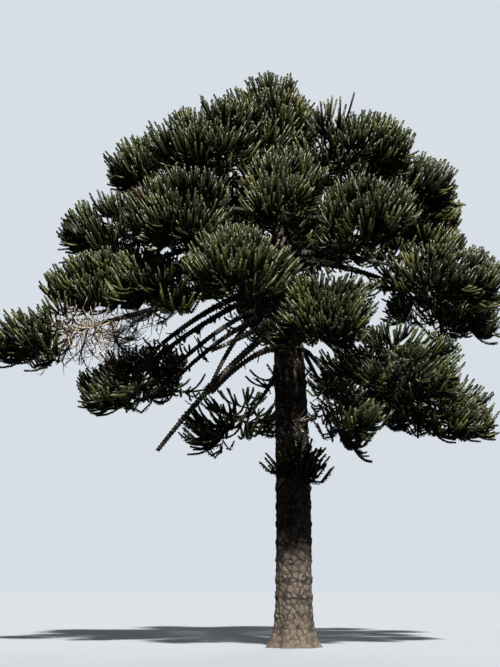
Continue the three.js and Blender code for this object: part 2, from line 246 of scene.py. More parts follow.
SHORT = "short"
OPEN = "open"
WHORLS = [
    (12.70, 35, [
        ("upper_front_left", 225, 3.08, 12.55, 1.38, SHORT),
        ("upper_right", 338, 2.18, 12.85, 1.38, SHORT),
        ("back_top", 100, 2.39, 13.14, 1.33, SHORT),
    ]),
    (12.45, 28, [
        ("upper_left", 180, 3.85, 12.75, 1.15),
        ("back_upper_right", 36, 4.31, 12.07, 1.42),
        ("back_upper_left", 120, 4.12, 12.41, 1.42),
    ]),
    (11.90, 22, [
        ("upper_far_right", 0, 3.56, 12.08, 1.16),
        ("back", 80, 4.61, 11.80, 1.46),
        ("front", 264, 3.21, 10.88, 1.46, SHORT),
    ]),
    (11.35, 14, [
        ("left", 176, 5.15, 11.15, 1.18),
        ("front_left", 228, 4.05, 10.40, 1.45),
        ("front_right", 302, 3.44, 10.45, 1.46, SHORT),
    ]),
    (10.80, 6, [
        ("right", 9, 3.91, 10.64, 1.16),
        ("far_left", 186, 5.45, 9.30, 1.17),
        ("back_left", 154, 5.75, 10.12, 1.42),
        ("back_right", 28, 5.40, 9.18, 1.38),
    ]),
    (10.35, 0, [
        ("far_right", 355, 4.28, 9.46, 1.33),
        ("inner_left", 215, 4.10, 9.00, 1.34),
        ("front_low", 253, 4.40, 8.92, 1.24),
        ("back_low", 94, 5.20, 9.63, 1.38),
        ("back_low_left", 152, 5.60, 7.20, 1.05),
    ]),
    (9.90, -20, [
        ("long_left", 188, 6.50, 7.92, 1.34),
        ("front_low_right", 283, 3.90, 7.85, 1.30),
        ("low_left", 194, 4.62, 6.48, 0.95, OPEN),
    ]),
    (9.20, -25, [
        ("low_right", 331, 3.57, 6.85, 1.20),
        ("back_low_right", 54, 4.32, 7.24, 1.28),
    ]),
    (8.98, 5, [
        ("dead_upper", 186, 2.15, 6.70, None),
    ]),
    (8.76, -35, [
        ("broken", 196, 2.15, 7.60, None),
        ("dead", 178, 3.53, 5.07, None),
    ]),
    (8.35, -14, [
        ("lowest_right", 3, 4.10, 6.05, 1.26),
        ("lowest_back", 58, 2.46, 5.94, 1.18, SHORT),
        ("hanging_right", 311, 2.30, 5.85, 1.10, SHORT),
    ]),
    (7.85, -65, [
        ("lowest_front", 219, 2.34, 5.45, 1.12, OPEN),
    ]),
    (7.78, 5, [
        ("dead_lower", 170, 2.15, 6.62, None),
    ]),
    (5.00, 0, [
        ("skirt", 280, 0.90, 4.65, 1.02, SHORT, OPEN),
    ]),
]
LEADER_MIDDLE = 13.85
LEADER_WIDE = 1.5
LEADER_RADIUS = 0.1


# %% [markdown]
# ## Lines and spaces
# A bough, twig or shoot follows a line with one bend, a quadratic Bezier. A mass of foliage keeps to
# an egg-shaped space. Both are kept as plain numbers, because thousands of lines have to be tested
# against the spaces, which is far too slow with curve objects.


# %% Lines
LENGTH_STEPS = 17
TINY = 1e-6


def on_curve(start, bend, end, share):
    """The point at a share of the way along a curve with one bend."""
    return (1 - share) ** 2 * start + 2 * share * (1 - share) * bend + share * share * end


def curve_heading(start, bend, end, share):
    """The direction of the curve there."""
    way = (1 - share) * (bend - start) + share * (end - bend)
    return way / norm(way, axis=-1, keepdims=True)


class Line:
    """A curve with one bend, from its start to its end."""

    def __init__(self, start, bend, end):
        self.start, self.bend, self.end = (np.asarray(p, float) for p in (start, bend, end))

    def at(self, share):
        return on_curve(self.start, self.bend, self.end, np.asarray(share, float)[..., None])

    def heading(self, share):
        return curve_heading(self.start, self.bend, self.end, np.asarray(share, float)[..., None])

    def length(self):
        points = self.at(np.linspace(0, 1, LENGTH_STEPS))
        return float(norm(np.diff(points, axis=0), axis=1).sum())

    def split(self, share):
        cut = self.at(share)
        near = self.start + (self.bend - self.start) * share
        far = self.bend + (self.end - self.bend) * share
        return Line(self.start, near, cut), Line(cut, far, self.end)


def between(first, second, share):
    return first + (second - first) * share


def unit(way):
    return way / norm(way)


def outward(turn):
    return np.array([math.cos(math.radians(turn)), math.sin(math.radians(turn)), 0.0])


trunk_line = Line((0, 0, 0), (TRUNK_LEAN / 2 + TRUNK_SWAY, 0, TRUNK_TOP / 2), (TRUNK_LEAN, 0, TRUNK_TOP))


def trunk_middle(height):
    return trunk_line.at(np.asarray(height) / TRUNK_TOP)


def trunk_radius(height):
    return TRUNK_RADIUS * (1 - (height / TAPER_HEIGHT) ** TAPER_POWER)


def flare_radius(height):
    return FLARE_RADIUS * np.exp(-height / FLARE_HEIGHT)


# %% Limbs and the spaces of their foliage
ENTRY_STEPS = 201


class Space:
    """The egg-shaped space of one mass of foliage."""

    def __init__(self, out, middle, long, wide):
        across = np.array([-out[1], out[0], 0.0])
        self.out, self.middle, self.wide = out, middle, wide
        self.size = np.array([long, wide, wide * TALL_SHARE])
        self.axes = np.array([out, across, UP]) / self.size[:, None]

    def inwardness(self, spot):
        """1 on the side of the trunk, 0 across and on the outer side."""
        way = spot - self.middle
        return max(0.0, -float(way @ self.out) / max(norm(way), TINY))

    def reach(self, points):
        """Distance from the middle, where 1 is the edge."""
        return norm((points - self.middle) @ self.axes.T, axis=-1)


class Limb:
    """A bough with the stem that carries its foliage on."""

    def __init__(self, name, line, radius, space, enter, words, rise=0):
        self.name, self.line, self.radius, self.space = name, line, radius, space
        self.enter, self.is_open, self.droops = enter, OPEN in words, rise <= DROOPING_RISE
        self.tip_radius = radius if enter == 0 else radius * BOUGH_TIP_SHARE
        self.bough_line, rest = line.split(enter)
        if space:
            onward = rest.heading(1) * space.wide * STEM_BEYOND
            self.stem_line = Line(rest.start, rest.bend, rest.end + onward)


def plan_limb(height, rise, name, turn, reach, middle, wide, *words):
    start = trunk_middle(height)
    out = outward(turn)
    end = out * reach + UP * middle
    arch = reach * ARCH_SHARE
    bend = start + out * arch + UP * arch * math.tan(math.radians(rise))
    line = Line(start, bend, end)
    radius = BOUGH_RADIUS + BOUGH_RADIUS_SHARE * reach
    if not wide:
        return Limb(name, line, radius * DEAD_SHARE, None, 1, words)
    space = Space(out, end - out * INWARD_SHARE * wide, wide * LONG_SHARE, wide)
    shares = np.linspace(1, 0, ENTRY_STEPS)
    outside = space.reach(line.at(shares)) >= ENTER_SHARE
    enter = 0 if SHORT in words else shares[np.argmax(outside)]
    return Limb(name, line, radius, space, enter, words, rise)


def plan_leader():
    start = trunk_middle(TRUNK_TOP)
    middle = np.array([start[0], start[1], LEADER_MIDDLE])
    space = Space(outward(0), middle, LEADER_WIDE, LEADER_WIDE)
    return Limb("top", Line(start, (start + middle) / 2, middle), LEADER_RADIUS, space, 0, ())


limbs = [plan_leader()]
for height, rise, boughs in WHORLS:
    for place, bough in enumerate(boughs):
        limbs.append(plan_limb(height - place * WHORL_STEP, rise, *bough))
masses = [limb for limb in limbs if limb.space]
for limb in masses:
    low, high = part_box("foliage_" + limb.name)
    away = norm(np.array((low + high) / 2) - limb.space.middle)
    assert away < limb.space.size.max(), f"{limb.name} isn't where its solid is"
print("limbs:", len(limbs), "masses:", len(masses))

# %% [markdown]
# ## Meshes from arrays
# A tree has tens of thousands of leaves. An object for each would be far too heavy, so leaves of one
# kind are worked out together with numpy and joined in one mesh. The helpers here turn arrays of
# corners and faces into an object, and tell how many triangles it has.


# %% Meshes from arrays
def mesh_object(name, points, faces, material_index=None, smooth=False):
    """An object from points and faces with the same number of corners each."""
    points = np.asarray(points, np.float32).reshape(-1, 3)
    faces = [np.asarray(block, np.int32) for block in faces if len(block)]
    counts = np.concatenate([np.full(len(block), block.shape[1], np.int32) for block in faces])
    corners = np.concatenate([block.ravel() for block in faces])
    mesh = bpy.data.meshes.new(name)
    mesh.vertices.add(len(points))
    mesh.vertices.foreach_set("co", points.ravel())
    mesh.loops.add(len(corners))
    mesh.loops.foreach_set("vertex_index", corners)
    mesh.polygons.add(len(counts))
    starts = np.concatenate([[0], np.cumsum(counts)[:-1]]).astype(np.int32)
    mesh.polygons.foreach_set("loop_start", starts)
    if material_index is not None:
        mesh.polygons.foreach_set("material_index", np.asarray(material_index, np.int32))
    mesh.polygons.foreach_set("use_smooth", np.full(len(counts), smooth))
    mesh.update(calc_edges=True)
    made = bpy.data.objects.new(name, mesh)
    bpy.context.scene.collection.objects.link(made)
    return made


def triangles(made):
    return sum(len(face.vertices) - 2 for face in made.data.polygons)


# %% [markdown]
# ## Tubes along lines
# Boughs, twigs and shoots are all tubes with several sides. A line with one bend lies in a plane, so
# the plane's normal is a side direction that never twists, and each ring is laid out from it.


# %% Tubes along lines
NUDGE = 1e-3
STRAIGHT = 1e-9


def line_frames(starts, bends, ends):
    """For each line, the normal of the plane that it bends in, or any level normal if it is straight."""
    normals = np.cross(bends - starts, ends - bends)
    sizes = norm(normals, axis=1, keepdims=True)
    spare = np.cross(ends - starts, UP + NUDGE)
    spare /= norm(spare, axis=1, keepdims=True)
    return np.where(sizes > STRAIGHT, normals / np.maximum(sizes, STRAIGHT), spare)


def line_points(lines):
    return (np.array([getattr(line, which) for line in lines]) for which in ("start", "bend", "end"))


def tube_faces(count, steps, sides):
    """The walls, root caps and tip caps of tubes whose points follow each other ring by ring."""
    first = (np.arange(count) * steps * sides)[:, None, None]
    ring = (np.arange(steps - 1) * sides)[None, :, None]
    side = np.arange(sides)[None, None, :]
    near, beside = first + ring + side, first + ring + (side + 1) % sides
    walls = np.stack([near, beside, beside + sides, near + sides], axis=-1).reshape(-1, 4)
    root = (first[:, 0] + np.arange(sides)[::-1][None]).reshape(-1, sides)
    tip = (first[:, 0] + (steps - 1) * sides + np.arange(sides)[None]).reshape(-1, sides)
    return walls, root, tip


def ring_ways(normals, ways, sides):
    """The directions from the middle of each ring to its corners."""
    angles = np.arange(sides) * FULL_TURN / sides
    cosines, sines = np.cos(angles)[:, None], np.sin(angles)[:, None]
    return normals[..., None, :] * cosines + np.cross(normals, ways)[..., None, :] * sines


def tubes(lines, radii, sides, shape):
    """Points and faces of closed tubes. Each line has its root radius and tip radius, and shape gives
    the share of the way along and the share of the radius for each ring."""
    starts, bends, ends = line_points(lines)
    normals = line_frames(starts, bends, ends)[:, None]
    shares, widths = np.array(shape).T
    curves = (starts[:, None], bends[:, None], ends[:, None], shares[None, :, None])
    radii = np.asarray(radii, float)
    radii = between(radii[:, :1], radii[:, 1:], shares) * widths
    out = ring_ways(normals, curve_heading(*curves), sides)
    rings = on_curve(*curves)[:, :, None] + out * radii[:, :, None, None]
    return rings.reshape(-1, 3), tube_faces(*rings.shape[:2], sides)


# %% [markdown]
# ## The growth rule
# Real shoots leave their parent one golden turn after another, so that none shades the next. Each
# leans less towards the parent's end, and bends up to the light. The solids use this rule twice, for
# twigs and shoots. Here it is used three times, for branchlets, twigs and the leafy shoots that look
# like ropes, and they fan out from a hub near the middle of their space. A shoot that would leave
# its own space or touch a limb is skipped, as in the solids, and a rope is skipped too where another
# rope already ends. Each branchlet has a vigour of its own, which breaks the even outline of a space
# into tufts. The tufts of drooping boughs have hooked ropes, open tufts have few, and the low ones
# are ragged underneath. FULLNESS lets a tuft reach further or less far than its solid, where the
# photograph shows that.
#
# A kind of shoot is a set of numbers: how many leave a parent and where, how far they lean from it
# and are lifted, what part of the room ahead they fill, their longest and shortest, the gap between
# their tips, how steeply they may hang, and how strongly they are pulled away from the hub.

# %% What grows
EDGE = 0.98
SPACE_GAP = 0.03
LIMB_GAP = 0.03
GOLDEN_TURN = math.radians(137.5)
WOBBLE = 0.4
CHECKED = np.array([0.35, 0.65, 0.95])
HUB = 0.05
DROOPING_HUB = 0.4
INNER_EXTRA = 0.38
INNER_LOSS = -0.1
THIN_INSIDE = (
    "right", "far_right", "back_right", "low_left", "inner_left", "back_left", "back_upper_left",
)
VIGOUR = (0.8, 1.18)
FULLNESS = {
    "top": 0.98, "upper_right": 1.03, "upper_front_left": 1.04, "upper_far_right": 0.93, "left": 0.94,
    "far_left": 0.95, "low_left": 0.88, "right": 0.94, "front_right": 0.95, "inner_left": 0.93,
    "back_left": 0.88,
}

BRANCHLET = dict(
    count=16, shares=(0.05, 0.99), leans=(88, 20), lifts=(0.06, 0.22), fill=0.62, longest=1.6,
    shortest=0.22, gap=0.0, steepest=-0.97, pull=0.0,
)
TWIG = dict(
    count=7, shares=(0.25, 0.98), leans=(74, 22), lifts=(0.08, 0.35), fill=0.6, longest=0.9,
    shortest=0.12, gap=0.0, steepest=-0.75, pull=0.3,
)
ROPE = dict(
    count=8, shares=(0.1, 1.0), leans=(76, 12), lifts=(0.2, 1.05), fill=0.98, longest=0.95,
    shortest=0.22, gap=0.11, steepest=-0.45, pull=0.8,
)
HOOKED = dict(leans=(60, 10), lifts=(0.2, 0.85), longest=1.05, shortest=0.3)
DROOPING_BRANCHLET = dict(BRANCHLET, lifts=(0.0, 0.15))
DROOPING_TWIG = dict(TWIG, lifts=(0.0, 0.2), pull=0.5)
DROOPING_ROPE = dict(ROPE, gap=0.135, **HOOKED)
OPEN_BRANCHLET = dict(DROOPING_BRANCHLET, count=10, fill=0.5)
OPEN_TWIG = dict(DROOPING_TWIG, count=3, fill=0.5)
OPEN_ROPE = dict(ROPE, count=6, gap=0.17, **HOOKED)
LOW_ROPE = dict(ROPE, count=7, gap=0.14)
LOW_PART = 0.28
RAGGED_BELOW = 11.0
TRIES = (1.0, 0.8)
SPREAD_OF_LENGTHS = 0.25
RANDOM_FACTOR = 1664525
RANDOM_STEP = 1013904223
RANDOM_RANGE = 2**32


def random_from(seed):
    """Seeded numbers from 0 to 1, the same as the solids use."""
    state = seed

    def draw():
        nonlocal state
        state = (state * RANDOM_FACTOR + RANDOM_STEP) % RANDOM_RANGE
        return state / RANDOM_RANGE

    return draw


OBSTACLE_STEP = 0.1
NEAR_LIMB = 0.2
obstacles = []


def add_obstacles(owner, line, radius_at):
    for share in np.linspace(0, 1, math.ceil(line.length() / OBSTACLE_STEP) + 1):
        spot = line.at(share)
        obstacles.append((owner, spot, radius_at(share, spot)))


add_obstacles("trunk", trunk_line, lambda share, spot: trunk_radius(spot[2]) + flare_radius(spot[2]))
for limb in limbs:
    if limb.enter > 0:
        add_obstacles("bough", limb.bough_line, lambda s, spot, l=limb: between(l.radius, l.tip_radius, s))
    if limb.space:
        add_obstacles(limb.name, limb.stem_line, lambda s, spot, l=limb: l.tip_radius)


def reaches(points, axes, middles):
    """How far each point is from the middle of each space, where 1 is its edge."""
    offsets = points[:, None] - middles[None]
    return norm(np.einsum("kij,nkj->nki", axes, offsets), axis=2)


def is_clear(points, spots, radii):
    """Whether all points keep their distance from limbs, which are given as balls."""
    apart = norm(points[:, None] - spots[None], axis=2)
    return not (apart < radii + LIMB_GAP).any()


class Ground:
    """What one limb's growth has to know: its neighbours' spaces and the limbs that pass near."""

    def __init__(self, limb):
        self.space = limb.space
        middle, far = limb.space.middle, limb.space.size.max()
        self.hub = middle + UP * limb.space.wide * (DROOPING_HUB if limb.droops else HUB)
        others = [o.space for o in masses if o is not limb]
        near = [o for o in others if norm(o.middle - middle) < far + o.size.max()]
        self.middles = np.array([o.middle for o in near])
        self.axes = np.array([o.axes for o in near])
        foreign = [o for o in obstacles if o[0] != limb.name]
        close = [o for o in foreign if norm(o[1] - middle) < far + o[2] + NEAR_LIMB]
        self.spots = np.array([o[1] for o in close]).reshape(-1, 3)
        self.radii = np.array([o[2] for o in close])
        self.tips = np.empty((0, 3))

    def holds(self, points, edge):
        """Whether all points lie in this limb's own space and clear of other limbs."""
        here = self.space.reach(points)
        if here.max() > edge:
            return False
        if (reaches(points, self.axes, self.middles) < here[:, None] + SPACE_GAP).any():
            return False
        return is_clear(points, self.spots, self.radii)

    def away_from_hub(self, spot):
        """The direction in which shoots here fan out."""
        way = spot - self.hub
        return way / max(norm(way), TINY)

    def is_free(self, tip, gap):
        return not len(self.tips) or norm(self.tips - tip, axis=1).min() > gap


def rise_of(direction, kind):
    """How far a line bends up, as a share of its length: most where it sets out downwards."""
    low, high = kind["lifts"]
    return between(low, high, 0.5 - 0.5 * direction[2])


BEND_SHARE = 0.55
END_SHARE = 0.9
ROOM_STEP = 0.04
LONGEST_ROOM = 4.0
ROOM_STEPS = np.arange(ROOM_STEP, LONGEST_ROOM, ROOM_STEP)
UPRIGHT = 0.1


def bending_line(start, direction, length, lift):
    """A line that sets out in a direction and is lifted at its end."""
    bend = start + direction * length * BEND_SHARE
    return Line(start, bend, start + direction * length * END_SHARE + UP * lift * length)


def room_ahead(space, start, direction, lift, edge):
    """How long a bending line can be before it leaves the space."""
    ends = start + (direction * END_SHARE + UP * lift)[None] * ROOM_STEPS[:, None]
    outside = space.reach(ends) >= edge
    return ROOM_STEPS[np.argmax(outside)] if outside.any() else ROOM_STEPS[-1]


def leaning(heading, lean, turn):
    """The direction that leans from a parent's heading by an angle, turned round it."""
    side = np.cross(heading, UP)
    if norm(side) < UPRIGHT:
        side = np.array([1.0, 0.0, 0.0])
    side = unit(side)
    side = side * math.cos(turn) + np.cross(heading, side) * math.sin(turn)
    return unit(heading * math.cos(lean) + side * math.sin(lean))


def no_steeper(direction, steepest):
    """The direction, raised where it would hang more steeply than shoots of this kind do."""
    direction = unit(direction)
    return unit(np.array([direction[0], direction[1], max(direction[2], steepest)]))


def grow_along(ground, parent, kind, draw, edge):
    """Lines that leave a parent line by the growth rule."""
    made = []
    first = draw() * FULL_TURN
    for k in range(kind["count"]):
        place = (k + 0.5) / kind["count"]
        share = between(*kind["shares"], place)
        lean = math.radians(between(*kind["leans"], place))
        turn = first + k * GOLDEN_TURN + (draw() - 0.5) * WOBBLE
        shorter = 1 - draw() * SPREAD_OF_LENGTHS
        start = parent.at(share)
        direction = leaning(parent.heading(share), lean, turn) + ground.away_from_hub(start) * kind["pull"]
        direction = no_steeper(direction, kind["steepest"])
        lift = rise_of(direction, kind)
        room = min(room_ahead(ground.space, start, direction, lift, edge) * kind["fill"], kind["longest"])
        for tried in TRIES:
            length = room * shorter * tried
            if length < kind["shortest"]:
                break
            line = bending_line(start, direction, length, lift)
            is_inside = ground.holds(line.at(CHECKED), edge)
            if is_inside and (not kind["gap"] or ground.is_free(line.end, kind["gap"])):
                made.append(line)
                if kind["gap"]:
                    ground.tips = np.vstack([ground.tips, line.end])
                break
    return made


# %% Growing every mass
TONES = [
    ("leaf_deep", (28, 32, 18), 0.34),
    ("leaf_olive", (40, 44, 24), 0.34),
    ("leaf_fresh", (54, 60, 31), 0.24),
    ("leaf_yellow", (72, 73, 40), 0.078),
    ("leaf_rust", (50, 40, 28), 0.002),
]


class Spray:
    """The ropes that one twig carries, with the tone of their leaves."""

    def __init__(self, ropes, draw):
        self.ropes = ropes
        self.tone = 0
        left = draw()
        for number, (_, _, share) in enumerate(TONES):
            if left >= 0:
                self.tone = number
            left -= share


branchlets = []
twigs = []
for index, limb in enumerate(limbs):
    if not limb.space:
        continue
    draw = random_from(index + 1)
    ground = Ground(limb)
    kinds = (BRANCHLET, TWIG, ROPE)
    if limb.droops:
        kinds = (DROOPING_BRANCHLET, DROOPING_TWIG, DROOPING_ROPE)
    if limb.is_open:
        kinds = (OPEN_BRANCHLET, OPEN_TWIG, OPEN_ROPE)
    limb.sprays = []
    limb.branchlets = []
    for branchlet in grow_along(ground, limb.stem_line, kinds[0], draw, EDGE):
        inner_extra = INNER_LOSS if limb.name in THIN_INSIDE else INNER_EXTRA
        edge = EDGE * FULLNESS.get(limb.name, 1) * between(*VIGOUR, draw())
        edge += inner_extra * limb.space.inwardness(branchlet.end)
        is_under = branchlet.end[2] < limb.space.middle[2] - LOW_PART * limb.space.wide
        is_ragged = is_under and limb.space.middle[2] < RAGGED_BELOW
        twig_kind, rope_kind = (OPEN_TWIG, LOW_ROPE) if is_ragged else kinds[1:]
        own_twigs = grow_along(ground, branchlet, twig_kind, draw, edge)
        for parent in own_twigs + [branchlet]:
            limb.sprays.append(Spray(grow_along(ground, parent, rope_kind, draw, edge), draw))
        limb.branchlets.append(branchlet)
        branchlets.append(branchlet)
        twigs += own_twigs
    limb.sprays.append(Spray(grow_along(ground, limb.stem_line, kinds[2], draw, EDGE), draw))
rope_count = sum(len(spray.ropes) for limb in masses for spray in limb.sprays)
print("branchlets:", len(branchlets), "twigs:", len(twigs), "ropes:", rope_count)

# %% [markdown]
# ## Shoots outside the tufts
# Not every shoot grows in a tuft. Three boughs run side by side to the low left tuft, and the survey
# has only the first of them. Short shoots hang below the boughs and turn up at their tips like hooks,
# long ones hang side by side under the tufts, and one leafy shoot hangs alone at the low left. A few
# young and a few dead ones stand on the front of the trunk. Each sort has a function that sets it out
# along a line, and all of them are drawn in turn from one seed. For each sort, hangs says whether its
# shoots point down, or what share of them does.

# %% Boughs beside the low left one
SIDE_BOUGHS = [(9.06, -14, 196, 3.24, 7.02), (8.84, -16, 197, 3.14, 6.78)]
SIDE_RADII = (0.08, 0.052)

side_limbs = []
for number, (height, rise, turn, reach, middle) in enumerate(SIDE_BOUGHS, start=1):
    limb = plan_limb(height, rise, f"side_{number}", turn, reach, middle, None)
    limb.radius, limb.tip_radius = SIDE_RADII
    side_limbs.append(limb)
    add_obstacles("bough", limb.bough_line, lambda share, spot: between(*SIDE_RADII, share))

# %% Shoots set out along a line
SPACE_MIDDLES = np.array([limb.space.middle for limb in masses])
SPACE_AXES = np.array([limb.space.axes for limb in masses])
OBSTACLE_SPOTS = np.array([spot for _, spot, _ in obstacles])
OBSTACLE_RADII = np.array([radius for _, _, radius in obstacles])
TUFT_PART = 0.93
FREE_PART = np.array([0.6, 0.8, 1.0])

BOUGH_SHOOT = dict(
    per_metre=7, shares=(0.3, 0.98), lengths=(0.3, 0.7), lean=70, lift=(0.3, 0.65), hangs=0.85
)
TRUNK_SHOOT = dict(
    per_metre=26, shares=(0.68, 0.99), lengths=(0.5, 0.95), lean=80, lift=(0.1, 0.6), hangs=0.0
)
BARE_SHOOT = dict(
    per_metre=4, shares=(0.12, 0.8), lengths=(0.2, 0.55), lean=60, lift=(0.2, 0.6), hangs=0.9
)
HANGING_PART = dict(
    per_metre=9, shares=(0.1, 0.95), lengths=(0.35, 0.7), lean=65, lift=(0.35, 0.7), hangs=1.0
)
HANGING_SHOOT = Line((-3.36, -1.1, 6.94), (-3.25, -0.7, 6.3), (-2.28, -0.15, 6.62))


def keeps_out(points, own=None):
    """Whether points keep out of all tufts, or of all but their own."""
    inside = reaches(points, SPACE_AXES, SPACE_MIDDLES) < TUFT_PART
    if own:
        inside[:, [limb.space is own for limb in masses]] = False
    return not inside.any()


def stands_off(points):
    """Whether points stand off all limbs."""
    return is_clear(points, OBSTACLE_SPOTS, OBSTACLE_RADII)


def next_hangs(kind, draw):
    """Whether the next shoot hangs."""
    if isinstance(kind["hangs"], bool):
        return kind["hangs"]
    return draw() < kind["hangs"]


def shoots_along(line, kind, draw, surface=0.0, clear=True):
    """Shoots that leave a line at a given spacing, each bent up like a hook."""
    low, high = kind["shares"]
    made = []
    for _ in range(round(line.length() * (high - low) * kind["per_metre"])):
        share = between(low, high, draw())
        heading = line.heading(share)
        direction = leaning(heading, math.radians(kind["lean"]), draw() * FULL_TURN)
        if next_hangs(kind, draw):
            direction[2] = -abs(direction[2])
        length = between(*kind["lengths"], draw())
        start = line.at(share) + (direction - heading * (direction @ heading)) * surface
        shoot = bending_line(start, direction, length, between(*kind["lift"], draw()))
        points = shoot.at(FREE_PART)
        if not clear or (keeps_out(points) and stands_off(points)):
            made.append(shoot)
    return made


# %% Long shoots that hang under the tufts
HOOKS_PER_METRE = 18
HOOK_LENGTHS = (0.6, 1.5)
HOOK_TOP = 0.1
HOOK_LEVEL = 1.06
HOOK_DEPTH = -1.5
HOOK_OUTWARD = 0.5
HOOK_FALL = (0.35, 0.7)
HOOK_BEND = 0.55
HOOK_SWEEP = 0.9
HOOK_RISES = (0.0, 0.5)
HOOK_END = 0.5


def hooks_under(limb, draw):
    """Long shoots that hang side by side under a tuft and sweep outwards, with their tips turned up."""
    made = []
    aside, down = HOOK_FALL
    for branchlet in limb.branchlets:
        if branchlet.end[2] > limb.space.middle[2] + HOOK_TOP * limb.space.wide:
            continue
        for _ in range(round(branchlet.length() * HOOKS_PER_METRE)):
            start = branchlet.at(draw())
            way = unit((start - limb.space.middle) * [1, 1, 0] + limb.space.out * HOOK_OUTWARD)
            length = between(*HOOK_LENGTHS, draw())
            bend = start + (way * aside - UP * down) * length * HOOK_BEND
            sweep = way * HOOK_SWEEP + UP * between(*HOOK_RISES, draw())
            hook = Line(start, bend, bend + sweep * length * HOOK_END)
            points = hook.at(FREE_PART)
            local = (points - limb.space.middle) @ limb.space.axes.T
            is_under = norm(local[:, :2], axis=1).max() < HOOK_LEVEL
            is_near = is_under and local[:, 2].min() > HOOK_DEPTH
            if is_near and keeps_out(points, limb.space) and stands_off(points):
                made.append(hook)
    return made


# %% Shoots on the front of the trunk
BARK_DEEP = 0.97
STANDS_OUT = 0.5
SPROUTS = dict(
    count=14, heights=(6.85, 7.85), turns=(235, 300), aside=(-1.0, 0.3), lengths=(0.3, 0.75),
    down=0.6, lift=0.9,
)
UPPER_DEAD_TWIGS = dict(
    count=7, heights=(7.3, 8.0), turns=(250, 285), aside=(-0.6, 0.6), lengths=(0.3, 0.65),
    down=0.5, lift=0.2,
)
LOWER_DEAD_TWIGS = dict(UPPER_DEAD_TWIGS, heights=(5.4, 6.3), turns=(262, 292))


def shoots_on_trunk(kind, draw):
    """Shoots that stand out from the front of the trunk and hang down to one side."""
    made = []
    for _ in range(kind["count"]):
        height = between(*kind["heights"], draw())
        turn = between(*kind["turns"], draw())
        start = trunk_middle(height) + outward(turn) * trunk_radius(height) * BARK_DEEP
        aside = outward(turn + 90) * between(*kind["aside"], draw())
        way = unit(outward(turn) * STANDS_OUT + aside - UP * kind["down"])
        made.append(bending_line(start, way, between(*kind["lengths"], draw()), kind["lift"]))
    return made


# %% Leafy and bare shoots
LOOSE_SEED = 501
TRUNK_SURFACE = 0.25
YELLOW = [name for name, _, _ in TONES].index("leaf_yellow")
SHOOTS_IN_SPRAY = 5
LONG_SHOOT = 0.45


def as_sprays(shoots, draw):
    """Sprays of a few shoots each. A long shoot is split in two, so that its core follows its bend."""
    halves = [shoot.split(0.5) if shoot.length() > LONG_SHOOT else (shoot,) for shoot in shoots]
    shoots = [part for parts in halves for part in parts]
    firsts = range(0, len(shoots), SHOOTS_IN_SPRAY)
    return [Spray(shoots[first : first + SHOOTS_IN_SPRAY], draw) for first in firsts]


draw = random_from(LOOSE_SEED)
live_limbs = [limb for limb in limbs if limb.enter > 0 and limb.space]
dead_limbs = [limb for limb in limbs if not limb.space]
carriers = [limb.bough_line for limb in live_limbs + side_limbs]
loose_sprays = []
for line in carriers:
    loose_sprays += as_sprays(shoots_along(line, BOUGH_SHOOT, draw), draw)
loose_sprays += as_sprays(shoots_along(trunk_line, TRUNK_SHOOT, draw, TRUNK_SURFACE), draw)
hanging = [HANGING_SHOOT] + shoots_along(HANGING_SHOOT, HANGING_PART, draw, clear=False)
loose_sprays += as_sprays(hanging, draw)
sprouts = Spray(shoots_on_trunk(SPROUTS, draw), draw)
sprouts.tone = YELLOW
masses[0].sprays += loose_sprays + [sprouts]
hook_count = 0
for limb in masses:
    hooks = hooks_under(limb, draw)
    hook_count += len(hooks)
    limb.sprays += as_sprays(hooks, draw)
bare_shoots = []
for line in [limb.bough_line for limb in dead_limbs] + carriers:
    bare_shoots += shoots_along(line, BARE_SHOOT, draw)
print("loose sprays:", len(loose_sprays), "hooks:", hook_count, "bare shoots:", len(bare_shoots))

# %% [markdown]
# ## Bleached twigs
# Beside the long left tuft many shoots have died, dropped their leaves and bleached. They are twigs
# of the same rule with no leaves: half of the tuft's own ropes on its inner side, and branchlets with
# side twigs that hang from its bough. The dead twigs on the front of the trunk are made with them.

# %% Bleached twigs
BLEACHED_TUFT = "long_left"
BARED_SIDE = 0.15
BARE_PART = 0.55
BLEACHED_BRANCHLET = dict(
    per_metre=16, shares=(0.0, 1.0), lengths=(0.6, 1.5), lean=62, lift=(0.0, 0.4), hangs=True
)
BLEACHED_TWIG = dict(
    per_metre=11.25, shares=(0.2, 1.0), lengths=(0.18, 0.5), lean=50, lift=(0.0, 0.5), hangs=False
)

tuft = next(limb for limb in masses if limb.name == BLEACHED_TUFT)
bleached_twigs = []
for spray in tuft.sprays:
    if spray.ropes and tuft.space.inwardness(spray.ropes[0].start) > BARED_SIDE:
        bleached_twigs += spray.ropes[::2]
        spray.ropes = []
bleached = []
for line in (tuft.bough_line.split(BARE_PART)[1], tuft.stem_line):
    bleached += shoots_along(line, BLEACHED_BRANCHLET, draw, clear=False)
bleached += shoots_on_trunk(UPPER_DEAD_TWIGS, draw) + shoots_on_trunk(LOWER_DEAD_TWIGS, draw)
for parent in bleached:
    bleached_twigs += shoots_along(parent, BLEACHED_TWIG, draw, clear=False)
print("bleached branchlets:", len(bleached), "twigs:", len(bleached_twigs))

# %% [markdown]
# ## Leaves
# A leaf of this tree is a stiff, sharp triangle as long as a finger joint, and hundreds of them clasp
# each shoot like scales. Each is made of two faces folded along the midrib, which is enough for its
# outline and for the light to catch one half. They are life size but fewer, over a core that closes
# the gaps, so that the whole crown stays near a million faces.

